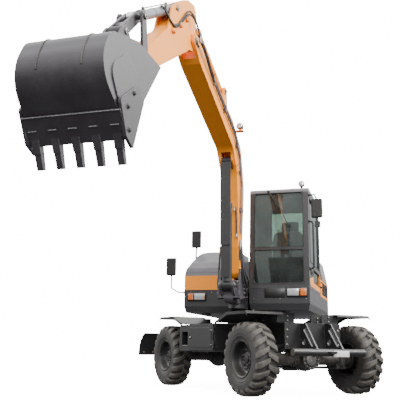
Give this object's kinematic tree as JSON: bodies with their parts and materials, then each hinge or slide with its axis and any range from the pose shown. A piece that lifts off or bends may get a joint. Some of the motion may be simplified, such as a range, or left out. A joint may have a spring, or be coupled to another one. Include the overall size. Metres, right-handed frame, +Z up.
{
  "type": "wheeled excavator",
  "caption": "Compact wheeled excavator with a swing boom, bucket, rear blade, glazed cab on the left and twin side boxes on the undercarriage.",
  "frame": {"origin": "middle of the whole machine's bounding box in plan, on the ground under the wheels", "axes": "+X towards the undercarriage's steered front end, +Y to its left, +Z up; the upper structure is slewed 43.6 degrees to the right as in the picture"},
  "size_m": [7.486, 6.5018, 4.5298],
  "materials": {
    "black": "satin",
    "bucket_steel": "worn",
    "engine": "rough",
    "glass": "clear",
    "grey": "satin",
    "lamp": "clear",
    "orange": "gloss",
    "rim": "satin",
    "rod_steel": "polished",
    "seat": "woven",
    "trim": "matt",
    "tyre": "matt"
  },
  "bodies": {
    "chassis": {"chassis_frame": "black", "fenders": "black", "front_axle": "black", "rear_axle": "black", "drive_line": "black"},
    "box_door_left": {"box_door_left": "black"},
    "box_door_right": {"box_door_right": "black"},
    "knuckle_left": {"knuckle_left": "black"},
    "knuckle_right": {"knuckle_right": "black"},
    "steer_rod": {"steer_rod": "rod_steel"},
    "blade": {"dozer_blade": "black"},
    "blade_cyl_barrel": {"blade_cyl_barrel": "black"},
    "blade_cyl_rod": {"blade_cyl_rod": "rod_steel"},
    "upper": {"upper_frame": "black", "counterweight": "grey", "left_skirt": "grey", "right_skirt": "grey", "left_band": "orange", "right_band": "orange", "tank_cover": "grey", "engine": "engine", "cab_floor": "grey", "cab_front": "grey", "cab_side": "grey", "cab_left": "grey", "cab_rear": "grey", "cab_roof": "grey", "cab_glass": "glass", "seat": "seat", "cab_controls": "trim", "lamps": "lamp", "mirrors": "trim", "handrails": "black"},
    "engine_hood": {"engine_hood": "grey"},
    "cab_door": {"cab_door": "grey", "door_glass": "glass"},
    "swing_post": {"swing_post": "orange"},
    "boom": {"boom": "orange", "boom_lines": "black"},
    "boom_cyl_barrel": {"boom_cyl_barrel": "orange"},
    "boom_cyl_rod": {"boom_cyl_rod": "rod_steel"},
    "arm": {"arm": "orange"},
    "arm_cyl_barrel": {"arm_cyl_barrel": "orange"},
    "arm_cyl_rod": {"arm_cyl_rod": "rod_steel"},
    "rocker": {"rocker": "bucket_steel"},
    "bucket": {"bucket": "bucket_steel"},
    "link": {"link": "bucket_steel"},
    "bucket_cyl_barrel": {"bucket_cyl_barrel": "grey"},
    "bucket_cyl_rod": {"bucket_cyl_rod": "rod_steel"},
    "wheel_front_left": {"tyre_front_left": "tyre", "rim_front_left": "rim"},
    "wheel_front_right": {"tyre_front_right": "tyre", "rim_front_right": "rim"},
    "wheel_rear_left": {"tyre_rear_left": "tyre", "rim_rear_left": "rim"},
    "wheel_rear_right": {"tyre_rear_right": "tyre", "rim_rear_right": "rim"}
  },
  "joints": [
    {"name": "slew", "type": "hinge", "parent": "chassis", "child": "upper", "pos_m": [-1.3427, 1.6152, 1.11], "axis": [0, 0, 1], "continuous": true},
    {"name": "wheel_spin_front_left", "type": "hinge", "parent": "knuckle_left", "child": "wheel_front_left", "pos_m": [-0.0677, 2.5152, 0.5], "axis": [0, 1, 0], "continuous": true},
    {"name": "wheel_spin_front_right", "type": "hinge", "parent": "knuckle_right", "child": "wheel_front_right", "pos_m": [-0.0677, 0.7152, 0.5], "axis": [0, 1, 0], "continuous": true},
    {"name": "wheel_spin_rear_left", "type": "hinge", "parent": "chassis", "child": "wheel_rear_left", "pos_m": [-2.6177, 2.5152, 0.5], "axis": [0, 1, 0], "continuous": true},
    {"name": "wheel_spin_rear_right", "type": "hinge", "parent": "chassis", "child": "wheel_rear_right", "pos_m": [-2.6177, 0.7152, 0.5], "axis": [0, 1, 0], "continuous": true},
    {"name": "steer_left", "type": "hinge", "parent": "chassis", "child": "knuckle_left", "pos_m": [-0.0677, 2.2952, 0.5], "axis": [0, 0, 1], "range_deg": [-28, 28]},
    {"name": "steer_right", "type": "hinge", "parent": "chassis", "child": "knuckle_right", "pos_m": [-0.0677, 0.9352, 0.5], "axis": [0, 0, 1], "range_deg": [-29, 29]},
    {"name": "steer_rod_slide", "type": "slide", "parent": "chassis", "child": "steer_rod", "axis": [0, 1, 0], "range_m": [-0.095, 0.095]},
    {"name": "blade_lift", "type": "hinge", "parent": "chassis", "child": "blade", "pos_m": [-2.9827, 1.6152, 0.56], "axis": [0, 1, 0], "range_deg": [-54, 3]},
    {"name": "blade_cyl_swing", "type": "hinge", "parent": "chassis", "child": "blade_cyl_barrel", "pos_m": [-2.9427, 1.6152, 0.9], "axis": [0, 1, 0], "range_deg": [-34.3, 2]},
    {"name": "blade_cyl_slide", "type": "slide", "parent": "blade_cyl_barrel", "child": "blade_cyl_rod", "axis": [-0.9191, 0, -0.3939], "range_m": [-0.016, 0.236]},
    {"name": "box_door_left_open", "type": "hinge", "parent": "chassis", "child": "box_door_left", "pos_m": [-0.8167, 2.6852, 0.785], "axis": [0, 0, -1], "range_deg": [0, 90]},
    {"name": "box_door_right_open", "type": "hinge", "parent": "chassis", "child": "box_door_right", "pos_m": [-0.8167, 0.5452, 0.785], "axis": [0, 0, 1], "range_deg": [0, 90]},
    {"name": "hood_open", "type": "hinge", "parent": "upper", "child": "engine_hood", "pos_m": [-1.63092, 1.88967, 2.115], "axis": [0.6896, 0.7242, 0], "range_deg": [0, 50]},
    {"name": "cab_door_open", "type": "hinge", "parent": "upper", "child": "cab_door", "pos_m": [-0.65557, 2.41216, 2.14], "axis": [0, 0, 1], "range_deg": [0, 95]},
    {"name": "boom_swing", "type": "hinge", "parent": "upper", "child": "swing_post", "pos_m": [-0.24196, 0.56698, 1.37], "axis": [0, 0, 1], "range_deg": [-60, 60]},
    {"name": "boom_lift", "type": "hinge", "parent": "swing_post", "child": "boom", "pos_m": [-0.11161, 0.44285, 1.64], "axis": [-0.6896, -0.7242, 0], "range_deg": [-80, 8]},
    {"name": "boom_cyl_swing", "type": "hinge", "parent": "swing_post", "child": "boom_cyl_barrel", "pos_m": [0.06944, 0.27044, 1.47], "axis": [-0.6896, -0.7242, 0], "range_deg": [-82.1, 8.3]},
    {"name": "boom_cyl_slide", "type": "slide", "parent": "boom_cyl_barrel", "child": "boom_cyl_rod", "axis": [0.0146, -0.0139, 0.9998], "range_m": [-0.399, 0.043]},
    {"name": "arm_turn", "type": "hinge", "parent": "boom", "child": "arm", "pos_m": [1.5033, -1.095, 4.06], "axis": [0.6896, 0.7242, 0], "range_deg": [-25, 70]},
    {"name": "arm_cyl_swing", "type": "hinge", "parent": "boom", "child": "arm_cyl_barrel", "pos_m": [0.43152, -0.07437, 4.05], "axis": [0.6896, 0.7242, 0], "range_deg": [-3.1, 8.5]},
    {"name": "arm_cyl_slide", "type": "slide", "parent": "arm_cyl_barrel", "child": "arm_cyl_rod", "axis": [0.6969, -0.6636, 0.2721], "range_m": [-0.145, 0.4]},
    {"name": "bucket_curl", "type": "hinge", "parent": "arm", "child": "bucket", "pos_m": [2.71266, -2.24667, 3], "axis": [0.6896, 0.7242, 0], "range_deg": [-12, 120]},
    {"name": "rocker_turn", "type": "hinge", "parent": "arm", "child": "rocker", "pos_m": [2.58231, -2.12254, 3.08], "axis": [0.6896, 0.7242, 0], "range_deg": [-8.4, 82.6]},
    {"name": "link_turn", "type": "hinge", "parent": "bucket", "child": "link", "pos_m": [2.8575, -2.38459, 3.23], "axis": [0.6896, 0.7242, 0], "range_deg": [-55.1, 5.6]},
    {"name": "bucket_cyl_swing", "type": "hinge", "parent": "arm", "child": "bucket_cyl_barrel", "pos_m": [1.90159, -1.4743, 4.18], "axis": [0.6896, 0.7242, 0], "range_deg": [-0.4, 2.4]},
    {"name": "bucket_cyl_slide", "type": "slide", "parent": "bucket_cyl_barrel", "child": "bucket_cyl_rod", "axis": [0.609, -0.5799, -0.5412], "range_m": [-0.065, 0.62]}
  ],
  "couplings": [
    {"joint": "steer_right", "follows": "steer_left", "ratio": 1},
    {"joint": "steer_rod_slide", "follows": "steer_left", "m_per_rad": -0.18253},
    {"joint": "blade_cyl_swing", "follows": "blade_lift", "ratio": 0.63285},
    {"joint": "blade_cyl_slide", "follows": "blade_lift", "m_per_rad": -0.24686},
    {"joint": "boom_cyl_swing", "follows": "boom_lift", "ratio": 1.0244},
    {"joint": "boom_cyl_slide", "follows": "boom_lift", "m_per_rad": 0.28368},
    {"joint": "arm_cyl_swing", "follows": "arm_turn", "ratio": 0.11928},
    {"joint": "arm_cyl_slide", "follows": "arm_turn", "m_per_rad": 0.32456},
    {"joint": "rocker_turn", "follows": "bucket_curl", "ratio": 0.68704},
    {"joint": "link_turn", "follows": "bucket_curl", "ratio": -0.4576},
    {"joint": "bucket_cyl_swing", "follows": "bucket_curl", "ratio": 0.01843},
    {"joint": "bucket_cyl_slide", "follows": "bucket_curl", "m_per_rad": 0.29461}
  ]
}
